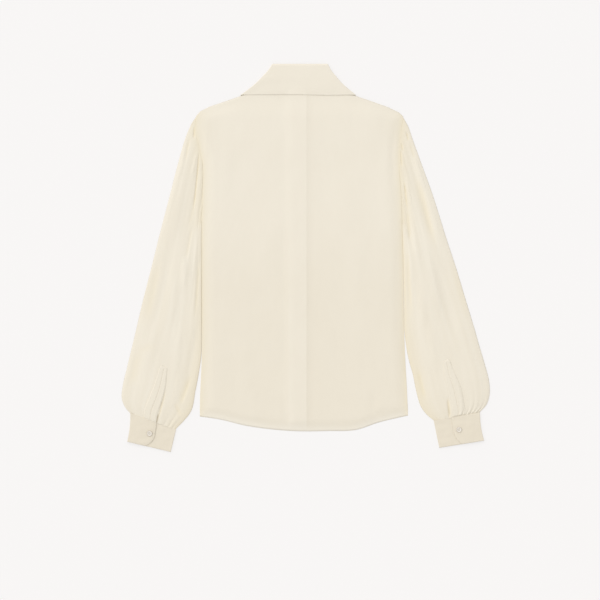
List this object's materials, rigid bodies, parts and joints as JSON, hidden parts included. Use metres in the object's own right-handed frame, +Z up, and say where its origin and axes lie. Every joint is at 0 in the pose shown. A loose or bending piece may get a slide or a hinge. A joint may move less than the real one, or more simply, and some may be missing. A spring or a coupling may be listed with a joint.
{
  "type": "silk blouse",
  "caption": "Long-sleeved silk blouse with a deep turned-down collar, gathered balloon sleeves and buttoned cuffs, laid flat on its front.",
  "frame": {"origin": "centre of the blouse's outline, on the surface that it lies on", "axes": "+Z up from the surface, through the back of the blouse; +Y from the hem towards the collar; +X towards the wearer's right sleeve"},
  "size_m": [0.7369, 0.7756, 0.008],
  "materials": {
    "silk": "cream crepe de chine, soft low sheen",
    "shell": "cream shell buttons, polished"
  },
  "bodies": {
    "root": {"back": "silk", "front_left": "silk", "front_right": "silk", "collar": "silk", "collar_stand": "silk", "sleeve_left": "silk", "sleeve_right": "silk", "sleeve_placket_left": "silk", "sleeve_placket_right": "silk", "cuff_left": "silk", "cuff_right": "silk", "button_cuff_left": "shell", "button_cuff_right": "shell", "button_front_1": "shell", "button_front_2": "shell", "button_front_3": "shell", "button_front_4": "shell", "button_front_5": "shell", "button_front_6": "shell", "button_stand": "shell"}
  },
  "joints": []
}
